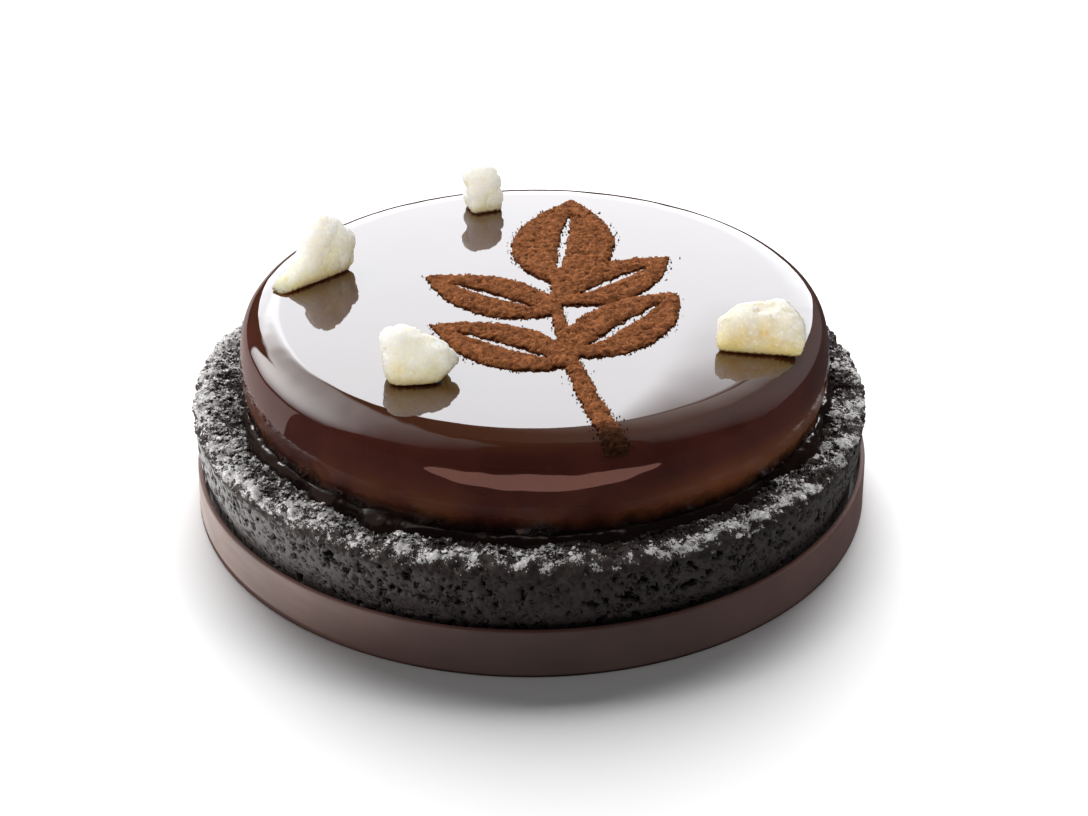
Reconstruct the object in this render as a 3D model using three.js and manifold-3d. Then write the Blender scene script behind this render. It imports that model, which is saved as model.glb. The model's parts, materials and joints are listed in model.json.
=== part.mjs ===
// Brownie tart: a chocolate band round a crumbly brownie base, a glazed dome dusted with a
// cocoa sprig, and four lumps of candied ginger on the glaze.
// Millimetres, +Z up, front towards -Y, origin at the centre of the underside.
import * as THREE from 'three';
import { mergeVertices } from 'three/addons/utils/BufferGeometryUtils.js';
import Module from 'manifold-3d';

const wasm = await Module();
wasm.setup();

// Chocolate band
const bandRadius = 43.3;
const bandLean = 0.25;
const bandWall = 0.7;
const bandHeight = 6.0;
const bandTilt = 0.007;
const bandWave = { height: 0.1, count: 3, phase: 0.6 };
const bandEdge = 0.18;
const bandSides = 96;

// Brownie base
const brownieRadius = 42.6;
const brownieFootRadius = 41.7;
const brownieShift = -0.2;
const brownieSeat = 13.9;
const brownieRim = 14.4;
const brownieFootEdge = 0.8;
const brownieFlare = 3;
const brownieSides = 144;
const seatRadius = 38.1;
const ringInner = 34.2;
const sideRows = 9;
const ringRows = 7;
const rimRounding = 1.2;
const rimCorner = 0.35;
const crumbSize = 3.3;
const crumbDetail = 2.1;
const crumbShares = [0.65, 0.55];
const ringRelief = 0.95;
const rimRelief = 0.5;
const sidePitSize = 2.6;
const sidePitDepth = 0.55;
const sidePitStart = 0.12;
const crumbSeeds = { crag: 5, rag: 7, pit: 9 };
const pitsStart = [0.6, 1.8];
const cragsStart = [1.5, 0.6];
const cragsInnerFade = [0.3, 2];

// Glazed dome
const domeShift = 0.45;
const domeRadius = 37.1;
const domeFootRadius = 36;
const domeTop = 25.6;
const domeWidest = 19;
const domeSideArc = 17;
const domeSideTurns = [7, 16];
const domeShoulderArc = 12;
const domeShoulderTurn = 78;
const domeSides = 96;
const tuckRows = 4;
const uprightRows = 2;
const edgeRows = 6;
const shoulderRows = 2;
const puddleRise = 1.5;
const puddleCurve = 1.5;
const puddleHeights = [0.45, 0.95];

// Glaze that has run out at the foot: where it lies round the dome, how far it reaches and how wide it is
const puddles = [
  { angle: -152, reach: 0.4, spread: 13 },
  { angle: -130, reach: 0.6, spread: 5 },
  { angle: -116, reach: 1.0, spread: 6 },
  { angle: -93, reach: 0.4, spread: 9 },
  { angle: -76, reach: 0.5, spread: 5 },
  { angle: -53, reach: 0.4, spread: 6 },
  { angle: -29, reach: 0.7, spread: 7 },
  { angle: -6, reach: 0.4, spread: 8 },
  { angle: 38, reach: 0.7, spread: 6 },
  { angle: 71, reach: 0.4, spread: 5 },
  { angle: 104, reach: 0.8, spread: 7 },
  { angle: 141, reach: 0.5, spread: 6 },
  { angle: 172, reach: 0.4, spread: 6 },
];

// Cocoa sprig: a stem from the front edge, leaves along it and one at its end
const cocoaDepth = 0.45;
const cocoaReachDown = 4;
const stemStart = new THREE.Vector2(8.8, -34.4);
const stemBend = new THREE.Vector2(2.6, -16);
const stemEnd = new THREE.Vector2(2.6, 3.4);
const stemHalfWidths = [1.6, 0.75];
const stemSteps = 14;
const leafVein = { from: 0.16, to: 0.8, halfWidth: 0.42 };
const leafFoot = { along: 0.18, out: 1.15 };
const leafTip = { along: 0.62, out: 1.35 };
const leafSegments = 7;
const leaves = [
  { along: 1.0, turn: -6, length: 26.5, width: 14.8 },
  { along: 0.45, turn: 49, length: 20, width: 11 },
  { along: 0.5, turn: -49, length: 22, width: 11.8 },
  { along: 0.79, turn: 54, length: 20, width: 10.8 },
  { along: 0.86, turn: -51, length: 20, width: 10.8 },
];

// Candied ginger: lumps that rest on the glaze
// roundness runs from squarer (high) to rounder (low), at the foot and at the top;
// lean is the shift of the top for each mm of height, wedge the height lost along the length,
// taper the narrowing upwards, pinch the narrowing to the back, toe the reach of the low foot to one end
const gingerFlat = 0.06;
const gingerGrain = 2.6;
const gingerBumps = 0.5;
const gingerBumpsRise = 1.5;
const gingerToePower = 4;
const gingerCells = [8, 6, 7];
const gingerLumps = [
  {
    name: 'ginger_left', at: [-26.3, 7.0], turn: 43, length: 6.7, depth: 3.2, height: 9.1,
    roundness: [8, 2.6], lean: [0.19, 0.04], wedge: 0.4, taper: [-0.19, -0.2], pinch: 0, toe: 5.6, seed: 11,
  },
  {
    name: 'ginger_back', at: [-6.45, 27.4], turn: 20, length: 4.6, depth: 4.0, height: 6.8,
    roundness: [8, 3], lean: [-0.04, 0.04], wedge: 0.14, taper: [-0.1, 0.1], pinch: 0, toe: 0, seed: 23,
  },
  {
    name: 'ginger_front', at: [-13.6, -20.4], turn: 8, length: 6.8, depth: 5.0, height: 7.3,
    roundness: [4.4, 3.4], lean: [0.22, 0.1], wedge: 0.6, taper: [-0.45, 0.2], pinch: 0, toe: 0, seed: 37,
  },
  {
    name: 'ginger_right', at: [27.4, -12.2], turn: -9, length: 11.4, depth: 6.8, height: 4.8,
    roundness: [8, 6], lean: [0.02, 0.08], wedge: -0.1, taper: [0.04, 0.1], pinch: 0.58, toe: 0, seed: 53,
  },
];

const materials = {
  band: new THREE.MeshStandardMaterial({ color: 0x3d2a26, roughness: 0.38, metalness: 0 }),
  brownie: new THREE.MeshStandardMaterial({ color: 0x231d1b, roughness: 0.9, metalness: 0 }),
  glaze: new THREE.MeshStandardMaterial({ color: 0x3a1d17, roughness: 0.06, metalness: 0 }),
  ginger: new THREE.MeshStandardMaterial({ color: 0xe2d8c0, roughness: 0.5, metalness: 0 }),
};

const weldDistance = 1e-4;
const radians = THREE.MathUtils.degToRad;
const smoothstep = THREE.MathUtils.smoothstep;
const lerp = THREE.MathUtils.lerp;

// A whole number that stands for one cell of a grid
const hashPrimes = [374761393, 668265263, 1274126177, 69069];
const hashMixers = [1274126177, 2246822519];
const hashShifts = [13, 16, 15];

function cellHash(...keys) {
  let hash = keys.reduce((mixed, key, i) => mixed ^ Math.imul(key, hashPrimes[i]), 0);
  hash = Math.imul(hash ^ (hash >>> hashShifts[0]), hashMixers[0]);
  hash = Math.imul(hash ^ (hash >>> hashShifts[1]), hashMixers[1]);
  return (hash ^ (hash >>> hashShifts[2])) >>> 0;
}

// Smooth noise from -1 to 1 with lumps one unit across
function lumps(x, y, z, seed) {
  const cell = [Math.floor(x), Math.floor(y), Math.floor(z)];
  const blend = [x - cell[0], y - cell[1], z - cell[2]].map((t) => t * t * (3 - 2 * t));
  let sum = 0;
  for (let corner = 0; corner < 8; corner += 1) {
    const step = [corner & 1, (corner >> 1) & 1, (corner >> 2) & 1];
    const share = step.reduce((product, s, axis) => product * (s ? blend[axis] : 1 - blend[axis]), 1);
    const value = cellHash(cell[0] + step[0], cell[1] + step[1], cell[2] + step[2], seed);
    sum += share * (value / 0xffffffff);
  }
  return 2 * sum - 1;
}

// Large lumps with smaller ones on them
function crumb(point, size, seed) {
  const coarse = point.clone().divideScalar(size);
  const fine = coarse.clone().multiplyScalar(crumbDetail);
  const large = lumps(coarse.x, coarse.y, coarse.z, seed);
  const small = lumps(fine.x, fine.y, fine.z, seed + 1);
  return crumbShares[0] * large + crumbShares[1] * small;
}

// The same triangles with shared corners, and without those that have no area
function weld(geometry) {
  const bare = geometry.clone();
  bare.deleteAttribute('normal');
  bare.deleteAttribute('uv');
  const welded = mergeVertices(bare, weldDistance);
  const index = welded.getIndex().array;
  const kept = [];
  for (let i = 0; i < index.length; i += 3) {
    const [a, b, c] = [index[i], index[i + 1], index[i + 2]];
    if (a !== b && b !== c && c !== a) {
      kept.push(a, b, c);
    }
  }
  welded.setIndex(kept);
  return welded;
}

// Moves every corner of a welded geometry by a function that changes the point it is given
function reshape(geometry, change) {
  const position = geometry.getAttribute('position');
  const point = new THREE.Vector3();
  for (let i = 0; i < position.count; i += 1) {
    point.fromBufferAttribute(position, i);
    change(point);
    position.setXYZ(i, point.x, point.y, point.z);
  }
  position.needsUpdate = true;
  return geometry;
}

// A profile of [radius, height] pairs turned about the Z axis
function turned(profile, sides) {
  const points = profile.map(([radius, height]) => new THREE.Vector2(radius, height));
  const lathe = new THREE.LatheGeometry(points, sides);
  lathe.rotateX(Math.PI / 2);
  return weld(lathe);
}

function toSolid(geometry) {
  const welded = weld(geometry);
  return new wasm.Manifold(new wasm.Mesh({
    numProp: 3,
    vertProperties: Float32Array.from(welded.getAttribute('position').array),
    triVerts: Uint32Array.from(welded.getIndex().array),
  }));
}

function toGeometry(solid) {
  const { vertProperties, triVerts } = solid.getMesh();
  const geometry = new THREE.BufferGeometry();
  geometry.setAttribute('position', new THREE.BufferAttribute(Float32Array.from(vertProperties), 3));
  geometry.setIndex(Array.from(triVerts));
  return geometry;
}

function namedMesh(name, geometry, material) {
  geometry.computeVertexNormals();
  const mesh = new THREE.Mesh(geometry, material);
  mesh.name = name;
  return mesh;
}

// A thin ring that leans in a little, with a softened top edge that rises towards the right
function chocolateBand() {
  const outerTop = bandRadius - bandLean;
  const innerFoot = bandRadius - bandWall;
  const innerTop = outerTop - bandWall;
  const shoulder = bandHeight - bandEdge;
  const profile = [
    [innerFoot, 0],
    [bandRadius, 0],
    [outerTop, shoulder],
    [outerTop - bandEdge, bandHeight],
    [innerTop + bandEdge, bandHeight],
    [innerTop, shoulder],
    [innerFoot, 0],
  ];
  const ring = turned(profile, bandSides);
  return reshape(ring, (point) => {
    const share = point.z / bandHeight;
    const angle = Math.atan2(point.y, point.x);
    const wave = bandWave.height * Math.sin(bandWave.count * angle + bandWave.phase);
    point.z += share * (bandTilt * point.x + wave);
  });
}

// Side, rounded rim, ring of crumb and the flat seat under the dome
function brownieProfile() {
  const profile = [[0, 0], [brownieFootRadius - brownieFootEdge, 0]];
  const sideTop = brownieRim - rimRounding;
  const ringOuter = brownieRadius - rimRounding;
  for (let row = 0; row <= sideRows; row += 1) {
    const height = lerp(brownieFootEdge, sideTop, row / sideRows);
    const flare = smoothstep(height, bandHeight - bandEdge, bandHeight + brownieFlare);
    profile.push([lerp(brownieFootRadius, brownieRadius, flare), height]);
  }
  const cornerCut = rimCorner * rimRounding;
  profile.push([brownieRadius - cornerCut, brownieRim - cornerCut]);
  for (let row = 0; row <= ringRows; row += 1) {
    const radius = lerp(ringOuter, ringInner, row / ringRows);
    const rise = smoothstep(radius, seatRadius, ringOuter);
    profile.push([radius, lerp(brownieSeat, brownieRim, rise)]);
  }
  profile.push([0, brownieSeat]);
  return profile;
}

// Pits in the side, a ragged rim and crags on the ring, which only sink where the dome may lie on them
function brownieBase() {
  const cake = turned(brownieProfile(), brownieSides);
  return reshape(cake, (point) => {
    const radius = Math.hypot(point.x, point.y);
    const clearOfBand = smoothstep(point.z, bandHeight + pitsStart[0], bandHeight + pitsStart[1]);
    const onTop = smoothstep(point.z, brownieRim - cragsStart[0], brownieRim - cragsStart[1]);
    const offSeat = smoothstep(radius, ringInner + cragsInnerFade[0], ringInner + cragsInnerFade[1]);
    const onRing = onTop * offSeat;
    const crag = ringRelief * crumb(point, crumbSize, crumbSeeds.crag);
    const rag = rimRelief * crumb(point, crumbSize, crumbSeeds.rag);
    const pit = sidePitDepth * Math.max(0, crumb(point, sidePitSize, crumbSeeds.pit) - sidePitStart);
    const outward = clearOfBand * (onRing * rag - (1 - onTop) * pit);
    const grow = radius > 0 ? 1 + outward / radius : 1;
    const lift = radius > seatRadius ? crag : Math.min(0, crag);
    point.set(point.x * grow + brownieShift, point.y * grow, point.z + onRing * lift);
  });
}

// The arcs up the outside of the dome: tucked-in foot, nearly upright side, rounded edge and soft shoulder
function domeArcs() {
  const drop = domeWidest - brownieSeat;
  const footTurn = 2 * Math.atan2(domeRadius - domeFootRadius, drop);
  const [sideStart, sideEnd] = domeSideTurns.map(radians);
  const foot = { radius: drop / Math.sin(footTurn), from: -footTurn, to: sideStart, rows: tuckRows };
  foot.centre = [domeRadius - foot.radius, domeWidest];
  const side = { radius: domeSideArc, from: sideStart, to: sideEnd, rows: uprightRows };
  side.centre = nextCentre(foot, side);
  const sideTop = side.centre[1] + side.radius * Math.sin(sideEnd);
  const shoulderStart = radians(domeShoulderTurn);
  const shoulder = { radius: domeShoulderArc, from: shoulderStart, to: Math.PI / 2, rows: shoulderRows };
  const edgeRise = domeTop - sideTop - shoulder.radius * (1 - Math.sin(shoulderStart));
  const edge = { from: sideEnd, to: shoulderStart, rows: edgeRows };
  edge.radius = edgeRise / (Math.sin(shoulderStart) - Math.sin(sideEnd));
  edge.centre = nextCentre(side, edge);
  shoulder.centre = nextCentre(edge, shoulder);
  return [foot, side, edge, shoulder];
}

// The centre of an arc that goes on smoothly where another arc ends
function nextCentre(last, next) {
  const step = last.radius - next.radius;
  return [last.centre[0] + step * Math.cos(last.to), last.centre[1] + step * Math.sin(last.to)];
}

// Outside and flat top of the dome; grow makes the same form larger all over
function domeProfile(grow) {
  const profile = [[0, brownieSeat]];
  const addPoint = (arc, turn) => {
    const radius = arc.radius + grow;
    profile.push([arc.centre[0] + radius * Math.cos(turn), arc.centre[1] + radius * Math.sin(turn)]);
  };
  const [foot, ...rest] = domeArcs();
  const turnAt = (rise) => Math.asin((brownieSeat + rise - domeWidest) / foot.radius);
  [0, ...puddleHeights].forEach((rise) => addPoint(foot, turnAt(rise)));
  const upper = { ...foot, from: turnAt(puddleRise) };
  addPoint(upper, upper.from);
  [upper, ...rest].forEach((arc) => {
    for (let row = 1; row <= arc.rows; row += 1) {
      addPoint(arc, lerp(arc.from, arc.to, row / arc.rows));
    }
  });
  profile.push([0, domeTop + grow]);
  return profile;
}

// How far the glaze reaches out at the foot at one angle, in degrees
function puddleReach(angle) {
  return puddles.reduce((reach, puddle) => {
    const away = Math.abs(THREE.MathUtils.euclideanModulo(angle - puddle.angle + 180, 360) - 180);
    return Math.max(reach, puddle.reach * Math.exp(-((away / puddle.spread) ** 2)));
  }, 0);
}

function domeBody() {
  const body = turned(domeProfile(0), domeSides);
  return reshape(body, (point) => {
    const radius = Math.hypot(point.x, point.y);
    const rise = point.z - brownieSeat;
    if (radius > 0 && rise < puddleRise) {
      const spread = (1 - rise / puddleRise) ** puddleCurve;
      const reach = puddleReach(THREE.MathUtils.radToDeg(Math.atan2(point.y, point.x)));
      const grow = 1 + (spread * reach) / radius;
      point.set(point.x * grow, point.y * grow, point.z);
    }
  });
}

// An upright prism of a flat outline that passes through the top of the dome
function prism(shape) {
  const depth = cocoaReachDown + 2 * cocoaDepth;
  const block = new THREE.ExtrudeGeometry(shape, {
    depth,
    bevelEnabled: false,
    curveSegments: leafSegments,
  });
  block.translate(0, 0, domeTop - cocoaReachDown);
  return block;
}

// A pointed oval along +X with a bare vein down its middle
function leafShape({ length, width }) {
  const half = width / 2;
  const shape = new THREE.Shape();
  shape.moveTo(0, 0);
  const foot = new THREE.Vector2(leafFoot.along * length, leafFoot.out * half);
  const tip = new THREE.Vector2(leafTip.along * length, leafTip.out * half);
  shape.bezierCurveTo(foot.x, -foot.y, tip.x, -tip.y, length, 0);
  shape.bezierCurveTo(tip.x, tip.y, foot.x, foot.y, 0, 0);
  const middle = (leafVein.from + leafVein.to) / 2;
  const vein = new THREE.Path();
  vein.moveTo(leafVein.from * length, 0);
  vein.quadraticCurveTo(middle * length, 2 * leafVein.halfWidth, leafVein.to * length, 0);
  vein.quadraticCurveTo(middle * length, -2 * leafVein.halfWidth, leafVein.from * length, 0);
  shape.holes.push(vein);
  return shape;
}

function stemShape(curve) {
  const near = [];
  const far = [];
  for (let step = 0; step <= stemSteps; step += 1) {
    const along = step / stemSteps;
    const point = curve.getPoint(along);
    const tangent = curve.getTangent(along);
    const half = lerp(stemHalfWidths[0], stemHalfWidths[1], along);
    near.push(new THREE.Vector2(point.x + tangent.y * half, point.y - tangent.x * half));
    far.unshift(new THREE.Vector2(point.x - tangent.y * half, point.y + tangent.x * half));
  }
  return new THREE.Shape([...near, ...far]);
}

// A thin even coat of cocoa on the glaze, as wide as the sprig
function cocoaSprig() {
  const curve = new THREE.QuadraticBezierCurve(stemStart, stemBend, stemEnd);
  let sprig = toSolid(prism(stemShape(curve)));
  leaves.forEach((leaf) => {
    const foot = curve.getPoint(leaf.along);
    const tangent = curve.getTangent(leaf.along);
    const block = prism(leafShape(leaf));
    block.rotateZ(Math.atan2(tangent.y, tangent.x) + radians(leaf.turn));
    block.translate(foot.x, foot.y, 0);
    sprig = sprig.add(toSolid(block));
  });
  return sprig.intersect(toSolid(turned(domeProfile(cocoaDepth), domeSides)));
}

function glazedDome() {
  const dusted = toGeometry(toSolid(domeBody()).add(cocoaSprig()));
  dusted.translate(domeShift, 0, 0);
  return dusted;
}

// A rounded box that tapers, leans and loses height along its length, with bumps and a flat underside
function gingerLump({ length, depth, height, roundness, lean, wedge, taper, pinch, toe, seed }) {
  const lump = weld(new THREE.BoxGeometry(2, 2, 2, ...gingerCells));
  return reshape(lump, (point) => {
    const power = lerp(roundness[0], roundness[1], (point.z + 1) / 2);
    const sum = [point.x, point.y, point.z].reduce((total, t) => total + Math.abs(t) ** power, 0);
    point.divideScalar(sum ** (1 / power));
    const share = Math.max(0, (point.z + 1 - gingerFlat) / (2 - gingerFlat));
    const along = (point.x + 1) / 2;
    const back = (point.y + 1) / 2;
    const rise = (share * height * (1 - wedge * along)) / Math.max(1, 1 - wedge);
    const wide = (1 - taper[0] * share) * (1 - pinch * back);
    const deep = 1 - taper[1] * share;
    point.set((point.x * wide * length) / 2, (point.y * deep * depth) / 2, rise);
    point.x += lean[0] * rise - toe * (1 - along) * (1 - share) ** gingerToePower;
    point.y += lean[1] * rise;
    const bump = gingerBumps * Math.min(1, gingerBumpsRise * share);
    const place = point.clone().divideScalar(gingerGrain);
    point.x += bump * lumps(place.x, place.y, place.z, seed);
    point.y += bump * lumps(place.x, place.y, place.z, seed + 1);
    point.z += bump * lumps(place.x, place.y, place.z, seed + 2);
  });
}

const tart = new THREE.Group();
tart.add(namedMesh('chocolate_band', chocolateBand(), materials.band));
tart.add(namedMesh('brownie_base', brownieBase(), materials.brownie));
tart.add(namedMesh('glazed_dome', glazedDome(), materials.glaze));
gingerLumps.forEach((lump) => {
  const mesh = namedMesh(lump.name, gingerLump(lump), materials.ginger);
  mesh.position.set(lump.at[0], lump.at[1], domeTop);
  mesh.rotation.z = radians(lump.turn);
  tart.add(mesh);
});

export default tart;
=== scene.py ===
import json
import math
from functools import partial

import bpy
import numpy as np
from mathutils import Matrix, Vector, noise

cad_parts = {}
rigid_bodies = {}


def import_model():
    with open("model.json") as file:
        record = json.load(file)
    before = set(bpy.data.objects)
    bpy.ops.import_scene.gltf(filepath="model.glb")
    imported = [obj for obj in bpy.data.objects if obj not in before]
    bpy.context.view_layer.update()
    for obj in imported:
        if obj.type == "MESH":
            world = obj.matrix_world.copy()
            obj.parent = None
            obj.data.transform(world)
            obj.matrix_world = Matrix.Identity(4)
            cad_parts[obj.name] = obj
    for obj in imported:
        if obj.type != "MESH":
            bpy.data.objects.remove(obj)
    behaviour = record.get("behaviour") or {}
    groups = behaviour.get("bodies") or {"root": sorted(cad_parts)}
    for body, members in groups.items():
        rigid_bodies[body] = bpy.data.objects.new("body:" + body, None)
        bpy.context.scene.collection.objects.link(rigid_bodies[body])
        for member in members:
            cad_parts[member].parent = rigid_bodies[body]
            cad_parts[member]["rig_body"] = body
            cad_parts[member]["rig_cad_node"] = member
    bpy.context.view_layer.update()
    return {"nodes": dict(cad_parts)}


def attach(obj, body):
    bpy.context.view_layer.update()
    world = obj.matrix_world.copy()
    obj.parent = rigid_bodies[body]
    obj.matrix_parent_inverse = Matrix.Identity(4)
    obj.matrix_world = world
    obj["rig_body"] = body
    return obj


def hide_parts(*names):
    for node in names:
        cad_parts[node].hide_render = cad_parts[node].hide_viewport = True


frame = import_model()
mm = 0.001
print("frame loaded with", len(frame["nodes"]), "solids")


# small tools for picking, shaping and finishing

def clearPicks():
    bpy.ops.object.select_all(action="DESELECT")


def useOnly(piece):
    clearPicks()
    piece.select_set(True)
    bpy.context.view_layer.objects.active = piece


def startPiece(name, primitive, **settings):
    clearPicks()
    primitive(**settings)
    piece = bpy.context.object
    piece.name = name
    piece.data.name = name
    return piece


def linkPiece(piece):
    bpy.context.scene.collection.objects.link(piece)
    return piece


def editOn(piece, faces=False):
    useOnly(piece)
    bpy.context.tool_settings.mesh_select_mode = (not faces, False, faces)
    bpy.ops.object.mode_set(mode="EDIT")


def editOff():
    bpy.ops.object.mode_set(mode="OBJECT")


def pickPoints(piece, chosen):  # only these corners are selected when edit mode starts
    mesh = piece.data
    mesh.polygons.foreach_set("select", np.zeros(len(mesh.polygons), bool))
    mesh.edges.foreach_set("select", np.zeros(len(mesh.edges), bool))
    mesh.vertices.foreach_set("select", chosen)


def cutFiner(piece, chosen, cuts):  # more faces where they are needed
    pickPoints(piece, np.zeros(len(piece.data.vertices), bool))
    piece.data.polygons.foreach_set("select", chosen)
    editOn(piece, faces=True)
    bpy.ops.mesh.subdivide(number_cuts=cuts)
    editOff()


def applyModifier(piece, name, kind, **settings):
    useOnly(piece)
    modifier = piece.modifiers.new(name, kind)
    for key, value in settings.items():
        setattr(modifier, key, value)
    bpy.ops.object.modifier_apply(modifier=modifier.name)


def readVectors(piece, what):
    flat = np.empty(len(piece.data.vertices) * 3, np.float32)
    piece.data.vertices.foreach_get(what, flat)
    return flat.reshape(-1, 3).astype(float)


def readPoints(piece):  # corners in mm
    return readVectors(piece, "co") / mm


def writePoints(piece, points):
    piece.data.vertices.foreach_set("co", (points * mm).astype(np.float32).ravel())
    piece.data.update()


def radiusFrom(points, shift=0.0):  # from an upright axis that is shifted along x
    return np.hypot(points[:, 0] - shift, points[:, 1])


def ease(values, start, end):  # 0 at start, 1 at end, soft between
    t = np.clip((values - start) / (end - start), 0, 1)
    return t * t * (3 - 2 * t)


def noiseAt(points, size, seed):  # soft noise from -1 to 1 with lumps of that size in mm
    shift = Vector((seed * 7.3, seed * 3.1, seed * 5.7))
    return np.array([noise.noise(Vector(p) / size + shift) for p in points])


def setGroup(piece, name, weights, levels=24):
    group = piece.vertex_groups.new(name=name)
    steps = np.rint(np.clip(weights, 0, 1) * levels).astype(int)
    for step in range(1, levels + 1):
        chosen = np.flatnonzero(steps == step)
        if len(chosen):
            group.add(chosen.tolist(), step / levels, "REPLACE")


def setAttribute(piece, name, values):
    attribute = piece.data.attributes.new(name, "FLOAT", "POINT")
    attribute.data.foreach_set("value", values.astype(np.float32))


def makeTexture(name, kind, size, ramp=None, **settings):  # size in mm, ramp is (place, height) pairs
    texture = bpy.data.textures.new(name, kind)
    texture.noise_scale = size * mm
    for key, value in settings.items():
        setattr(texture, key, value)
    if ramp:
        texture.use_color_ramp = True
        texture.color_ramp.interpolation = "EASE"
        stops = texture.color_ramp.elements
        while len(stops) < len(ramp):
            stops.new(0.5)
        for stop, (place, height) in zip(stops, sorted(ramp)):
            stop.position = place
            stop.color = (height, height, height, 1)
    return texture


def displace(piece, texture, depth, mid=0.5, group=""):  # depth in mm
    applyModifier(piece, texture.name, "DISPLACE", texture=texture, texture_coords="LOCAL",
                  strength=depth * mm, mid_level=mid, vertex_group=group)


def displaceLayers(piece, layers, mid=0.5, group="", **settings):  # name, kind, size, depth, ramp
    for name, kind, size, depth, ramp in layers:
        displace(piece, makeTexture(name, kind, size, ramp, **settings), depth, mid, group)


def turnProfile(name, profile, steps, shift=0.0, closed=False):  # (radius, height) pairs in mm
    piece = startPiece(name, bpy.ops.mesh.primitive_plane_add, size=mm)
    editOn(piece)
    bpy.ops.mesh.select_all(action="SELECT")
    bpy.ops.mesh.merge(type="CENTER")
    bpy.ops.transform.translate(value=((profile[0][0] + shift) * mm, 0, profile[0][1] * mm))
    ring = profile[1:] + profile[:1] if closed else profile[1:]
    last = profile[0]
    for spot in ring:  # the outline is drawn point by point
        move = ((spot[0] - last[0]) * mm, 0, (spot[1] - last[1]) * mm)
        bpy.ops.mesh.extrude_vertices_move(TRANSFORM_OT_translate={"value": move})
        last = spot
    bpy.ops.mesh.select_all(action="SELECT")
    bpy.ops.mesh.spin(steps=steps, angle=2 * math.pi, center=(shift * mm, 0, 0), axis=(0, 0, 1))
    bpy.ops.mesh.select_all(action="SELECT")
    bpy.ops.mesh.remove_doubles(threshold=1e-7)
    bpy.ops.mesh.normals_make_consistent(inside=False)
    editOff()
    return piece


def nodeCopy(node, name):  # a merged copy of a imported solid
    piece = frame["nodes"][node].copy()
    piece.data = frame["nodes"][node].data.copy()
    piece.name = name
    piece.data.name = name
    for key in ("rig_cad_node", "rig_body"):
        del piece[key]
    piece.parent = None
    piece.hide_render = piece.hide_viewport = False
    editOn(linkPiece(piece))
    bpy.ops.mesh.select_all(action="SELECT")
    bpy.ops.mesh.remove_doubles(threshold=1e-6)
    editOff()
    return piece


lumpStep = 0.37  # mm from one lump's place in the texture to the next


def modelLumps(name, count, ruggedness, grain, cuts):  # small lumps, about 1 mm across, to be copied
    lumps = []
    for number in range(count):
        lump = startPiece(f"{name}{number}", bpy.ops.mesh.primitive_ico_sphere_add, subdivisions=cuts,
                          radius=0.5 * mm)
        lump.location = (len(bpy.data.meshes) * lumpStep * mm, 0, 0)
        bpy.ops.object.transform_apply(location=True)
        displace(lump, makeTexture(lump.name, "CLOUDS", grain), ruggedness)
        points = readPoints(lump)
        points -= points.mean(axis=0)
        lumps.append((points, np.array([list(face.vertices) for face in lump.data.polygons])))
        bpy.data.objects.remove(lump)
    return lumps


def someSizes(rng, limits, lean, count):  # between two limits, most of them small
    low, high = limits
    return low + (high - low) * rng.beta(*lean, count)


def scatterLumps(name, lumps, places, sizes, rng, squash=0.8):  # all copies in one joined mesh
    corners, faces = [], []
    count = 0
    which = rng.integers(0, len(lumps), len(places))
    for kind, (points, shape) in enumerate(lumps):
        chosen = np.flatnonzero(which == kind)
        turns = rng.normal(size=(len(chosen), 4))
        turns /= np.linalg.norm(turns, axis=1)[:, None]
        w, x, y, z = turns.T
        spin = np.stack([
            np.stack([1 - 2 * (y * y + z * z), 2 * (x * y - w * z), 2 * (x * z + w * y)], -1),
            np.stack([2 * (x * y + w * z), 1 - 2 * (x * x + z * z), 2 * (y * z - w * x)], -1),
            np.stack([2 * (x * z - w * y), 2 * (y * z + w * x), 1 - 2 * (x * x + y * y)], -1),
        ], 1)
        stretch = rng.uniform(squash, 1 / squash, size=(len(chosen), 1, 3))
        shaped = (points[None] * stretch) @ spin.transpose(0, 2, 1)
        shaped = shaped * sizes[chosen, None, None] + places[chosen, None, :]
        starts = count + np.arange(len(chosen)) * len(points)
        corners.append(shaped.reshape(-1, 3))
        faces.append((shape[None] + starts[:, None, None]).reshape(-1, shape.shape[1]))
        count += len(chosen) * len(points)
    mesh = bpy.data.meshes.new(name)
    mesh.from_pydata((np.concatenate(corners) * mm).tolist(), [], np.concatenate(faces).tolist())
    return linkPiece(bpy.data.objects.new(name, mesh))


def finishPiece(piece, material, slot, *nodes):
    useOnly(piece)
    bpy.ops.object.shade_smooth()
    piece.data.materials.clear()
    piece.data.materials.append(material)
    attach(piece, "root")
    if nodes:
        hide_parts(*nodes)
    print("made", piece.name, "with", sum(len(f.vertices) - 2 for f in piece.data.polygons), "triangles")


# tools for shader nodes

def addNode(tree, kind, **settings):
    node = tree.nodes.new("ShaderNode" + kind)
    for key, value in settings.items():
        setattr(node, key, value)
    return node


def feed(tree, node, values):  # a number, a colour or another node's output for each input
    for key, value in values.items():
        socket = node.inputs[key]
        if isinstance(value, bpy.types.NodeSocket):
            tree.links.new(value, socket)
        elif socket.type == "RGBA":
            socket.default_value = (*value, 1)
        else:
            socket.default_value = value


def calc(operation, tree, *values):
    node = addNode(tree, "Math", operation=operation)
    feed(tree, node, dict(enumerate(values)))
    return node.outputs[0]


plus = partial(calc, "ADD")
minus = partial(calc, "SUBTRACT")
times = partial(calc, "MULTIPLY")
timesPlus = partial(calc, "MULTIPLY_ADD")
over = partial(calc, "DIVIDE")
larger = partial(calc, "MAXIMUM")


def fade(tree, value, start, end, low=0.0, high=1.0):  # soft step of a value
    node = addNode(tree, "MapRange", interpolation_type="SMOOTHSTEP")
    feed(tree, node, {"Value": value, "From Min": start, "From Max": end, "To Min": low, "To Max": high})
    return node.outputs["Result"]


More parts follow.
